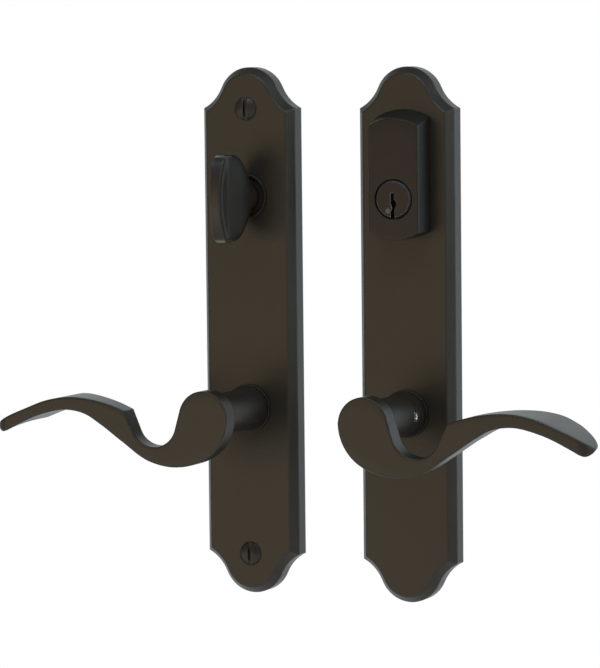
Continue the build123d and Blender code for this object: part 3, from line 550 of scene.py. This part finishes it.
# the profile goes round the axis, and the faces at the hole give way to a ring that runs in to its floor
def makeNeck(size):
    hole, columns = size["hole"], size["neckColumns"]
    start, (radius, end) = size["neck"][0][1], size["neck"][-1]
    rows = hole["depth"] + hole["radius"] * hole["margin"] * np.linspace(-1, 1, hole["rows"])
    profile = np.array([(0, start), *size["neck"][:-1], *((radius, row) for row in rows), (radius, end),
                        (0, end)])
    angle = 2 * math.pi * np.arange(columns) / columns
    x = profile[:, :1] * np.cos(angle)
    x = np.where(profile[:, 1:] < size["flatEnd"], np.clip(x, -size["flat"], size["flat"]), x)
    grid = np.stack([x, -profile[:, 1:] + 0 * x, profile[:, :1] * np.sin(angle)], -1)
    first, half = len(size["neck"]), hole["columns"]
    last = first + hole["rows"] - 1
    quads = joinRows(*x.shape).reshape(len(profile) - 1, columns, 4)
    cutOut = np.zeros(quads.shape[:2], bool)
    cutOut[first:last, np.arange(-half, half)] = True
    near = grid[first:last + 1][:, np.arange(-half, half + 1)]
    loop = np.concatenate([near[0, :-1], near[:-1, -1], near[-1, :0:-1], near[:0:-1, 0]])
    turn = np.arctan2(loop[:, 2], loop[:, 1] + hole["depth"])
    y, z = hole["radius"] * np.cos(turn) - hole["depth"], hole["radius"] * np.sin(turn)
    mouth = np.stack([np.sqrt(radius**2 - z**2), y, z], 1)
    floor = np.stack([hole["floor"] + 0 * z, y, z], 1)
    middle = floor * (1, 0, 0) - (0, hole["depth"], 0)
    rings = (loop, mouth, floor, middle)
    points = np.concatenate([grid.reshape(-1, 3), *rings])
    faces = np.concatenate([quads[~cutOut], joinRows(len(rings), len(loop), grid.size // 3)])
    return points, faces


# lever and neck in one mesh; a side of -1 mirrors it and turns its faces round
def makeWave(size, side, axis):
    points, faces = makeLever(size)
    neckPoints, neckFaces = makeNeck(size)
    faces = np.concatenate([faces, neckFaces + len(points)])
    points = np.concatenate([points, neckPoints]) * (side, 1, 1) + (axis, 0, 0)
    return points, faces[:, ::side]


for trim, side in sides.items():
    axis = pivots[trim + "_lever_body"][0]
    wave = addPiece(trim + "Wave", *makeWave(leverSize, side, axis), trim + "_lever_body", "dark_bronze",
                    finishes["dark_bronze"])
    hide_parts(trim + "_lever")
    print(trim, "lever made:", len(wave.data.polygons), "faces")


# return spring: a round wire along a ring with two upright legs, and parabolas as bends between leg and ring.
springSize = dict(
    radius=0.0114, depth=0.0044, wire=0.0007, legGap=0.0046, legReach=0.0200, bend=0.0016, ringPoints=96,
    bendPoints=8, legPoints=6, columns=12,
)


def makeSpring(size, axis):
    half, radius = size["legGap"] / 2, size["radius"]
    lean = math.asin(half / radius)
    foot, cut = radius * math.cos(lean), lean + size["bend"] / radius
    ring = onCircle((0, 0), radius, math.pi / 2 + cut, 5 * math.pi / 2 - cut, size["ringPoints"])
    t = np.linspace(0, 1, size["bendPoints"])[:-1, None]
    left = (1 - t) ** 2 * (-half, foot + size["bend"]) + 2 * t * (1 - t) * (-half, foot) + t**2 * ring[0]
    leg = np.linspace((-half, size["legReach"]), (-half, foot + size["bend"]), size["legPoints"])[:-1]
    start = np.concatenate([leg, left])
    path = np.concatenate([start, ring, start[::-1] * (-1, 1)])
    way = np.gradient(path, axis=0)
    way = way / np.linalg.norm(way, axis=1)[:, None]
    around = np.linspace(0, 2 * math.pi, size["columns"], endpoint=False)
    thick = np.full((len(path), 1), size["wire"])
    path, way = path[[0, *range(len(path)), -1]], way[[0, *range(len(way)), -1]]
    thick = np.concatenate([[[0]], thick, [[0]]])
    x = path[:, :1] - way[:, 1:] * thick * np.cos(around)
    z = path[:, 1:] + way[:, :1] * thick * np.cos(around)
    y = -size["depth"] - thick * np.sin(around)
    return np.stack([x + axis, y, z], -1).reshape(-1, 3), joinRows(len(path), size["columns"])


for trim, side in sides.items():
    axis = pivots[trim + "_lever_body"][0]
    spring = addPiece(trim + "Spring", *makeSpring(springSize, axis), None, "plated_steel",
                      finishes["plated_steel"])
    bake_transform(spring)
    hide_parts(trim + "_return_spring")
    print(trim, "spring made:", len(spring.data.polygons), "faces")


# surroundings
# sweep: one sheet that runs along the floor, turns up through a quarter circle and rises as the backdrop
sweepSize = dict(
    halfWidth=5.0, front=-4.0, turnStart=2.0, turnRadius=1.0, floorHeight=-0.6, top=4.0, turnRows=24,
    columns=9, paper=(0.8, 0.8, 0.8, 1),
)


def makeSweep(size):
    turn = np.linspace(0, math.pi / 2, size["turnRows"])
    y = np.concatenate(([size["front"]], size["turnStart"] + size["turnRadius"] * np.sin(turn),
                        [size["turnStart"] + size["turnRadius"]]))
    z = np.concatenate(([0.0], size["turnRadius"] * (1 - np.cos(turn)), [size["top"]])) + size["floorHeight"]
    x = np.linspace(-size["halfWidth"], size["halfWidth"], size["columns"])
    points = np.stack([np.repeat(x, len(y)), np.tile(y, len(x)), np.tile(z, len(x))], 1)
    column, row = np.meshgrid(np.arange(len(x) - 1), np.arange(len(y) - 1), indexing="ij")
    corner = (column * len(y) + row).ravel()
    faces = np.stack([corner, corner + len(y), corner + len(y) + 1, corner + 1], 1)
    mesh = bpy.data.meshes.new("paperSweep")
    mesh.from_pydata(points.tolist(), [], faces.tolist())
    mesh.polygons.foreach_set("use_smooth", np.ones(len(faces), bool))
    sheet = bpy.data.objects.new("paperSweep", mesh)
    scene.collection.objects.link(sheet)
    return sheet


# matte paper that the camera, glossy and transmission rays see as plain white
def makePaper(colour):
    material = bpy.data.materials.new("whitePaper")
    material.use_nodes = True
    tree = material.node_tree
    tree.nodes.clear()
    out = addNode(tree, "ShaderNodeOutputMaterial")
    matte = addNode(tree, "ShaderNodeBsdfDiffuse")
    matte.inputs["Color"].default_value = colour
    glow = addNode(tree, "ShaderNodeEmission")
    path = addNode(tree, "ShaderNodeLightPath")
    seen = calc(tree, "MAXIMUM", path.outputs["Is Camera Ray"],
                calc(tree, "MAXIMUM", path.outputs["Is Glossy Ray"], path.outputs["Is Transmission Ray"]))
    mixed = addNode(tree, "ShaderNodeMixShader")
    tree.links.new(seen, mixed.inputs[0])
    tree.links.new(matte.outputs[0], mixed.inputs[1])
    tree.links.new(glow.outputs[0], mixed.inputs[2])
    tree.links.new(mixed.outputs[0], out.inputs["Surface"])
    return material


sweep = makeSweep(sweepSize)
sweep.data.materials.append(makePaper(sweepSize["paper"]))

# lamps: two cool windows at the right, a cool strip above and a warm room in front, each turned to its aim
lamps = [
    dict(name="windowRight", place=(1.15, 0.6, 0.45), aim=(0.03, 0, 0.03), size=(0.6, 0.9), watts=7.5,
         tint=(0.56, 0.80, 1.0)),
    dict(name="sideRight", place=(1.3, -0.5, 0.42), aim=(0.03, 0, 0.03), size=(0.35, 0.9), watts=4.2,
         tint=(0.86, 0.93, 1.0)),
    dict(name="ceilingStrip", place=(0.2, -0.7, 1.1), aim=(0.03, 0, 0.03), size=(1.6, 0.35), watts=10.0,
         tint=(0.62, 0.84, 1.0)),
    dict(name="roomFront", place=(-0.7, -1.3, -0.15), aim=(0.03, 0, 0.05), size=(1.1, 0.9), watts=4.2,
         tint=(1.0, 0.68, 0.34)),
]
for lamp in lamps:
    light = bpy.data.lights.new(lamp["name"], "AREA")
    light.shape = "RECTANGLE"
    light.size, light.size_y = lamp["size"]
    light.energy = lamp["watts"]
    light.color = lamp["tint"]
    stand = bpy.data.objects.new(lamp["name"], light)
    scene.collection.objects.link(stand)
    stand.visible_camera = False
    back = np.array(lamp["place"]) - np.array(lamp["aim"])
    back = back / np.linalg.norm(back)
    side = np.cross([0.0, 0.0, 1.0], back)
    side = side / np.linalg.norm(side)
    turn = np.stack([side, np.cross(back, side), back], 1)
    stand.matrix_world = Matrix.Translation(lamp["place"]) @ Matrix(turn.tolist()).to_4x4()

skyColour = (0.27, 0.27, 0.27, 1)
scene.world = bpy.data.worlds.new("studio")
scene.world.use_nodes = True
scene.world.node_tree.nodes["Background"].inputs["Color"].default_value = skyColour
print("surroundings ready")


# camera: bearings fitted to the plates' corners, in degrees; lengths in metres; focal length in pixels
cameraFit = dict(azimuth=25.59, elevation=4.85, roll=-0.6, distance=1.3, focalPixels=3618.0,
                 aside=(-0.01285, -0.00057), centre=(0.031, 0.0, 0.0275), longSide=668, sensor=36.0,
                 clip=(0.05, 20.0))


def makeCamera(fit):
    azimuth, elevation, roll = (math.radians(fit[key]) for key in ("azimuth", "elevation", "roll"))
    level, rise = math.cos(elevation), math.sin(elevation)
    back = np.array([math.sin(azimuth) * level, -math.cos(azimuth) * level, rise])
    right = np.array([math.cos(azimuth), math.sin(azimuth), 0.0])
    up = np.cross(back, right)
    right, up = math.cos(roll) * right + math.sin(roll) * up, math.cos(roll) * up - math.sin(roll) * right
    place = np.array(fit["centre"]) + fit["distance"] * back + fit["aside"][0] * right + fit["aside"][1] * up
    lens = bpy.data.cameras.new("photoCamera")
    lens.sensor_width = fit["sensor"]
    lens.lens = fit["focalPixels"] * fit["sensor"] / fit["longSide"]
    lens.clip_start, lens.clip_end = fit["clip"]
    camera = bpy.data.objects.new("photoCamera", lens)
    scene.collection.objects.link(camera)
    turn = Matrix(np.stack([right, up, back], 1).tolist()).to_4x4()
    camera.matrix_world = Matrix.Translation(place.tolist()) @ turn
    scene.camera = camera


makeCamera(cameraFit)
print("camera set")
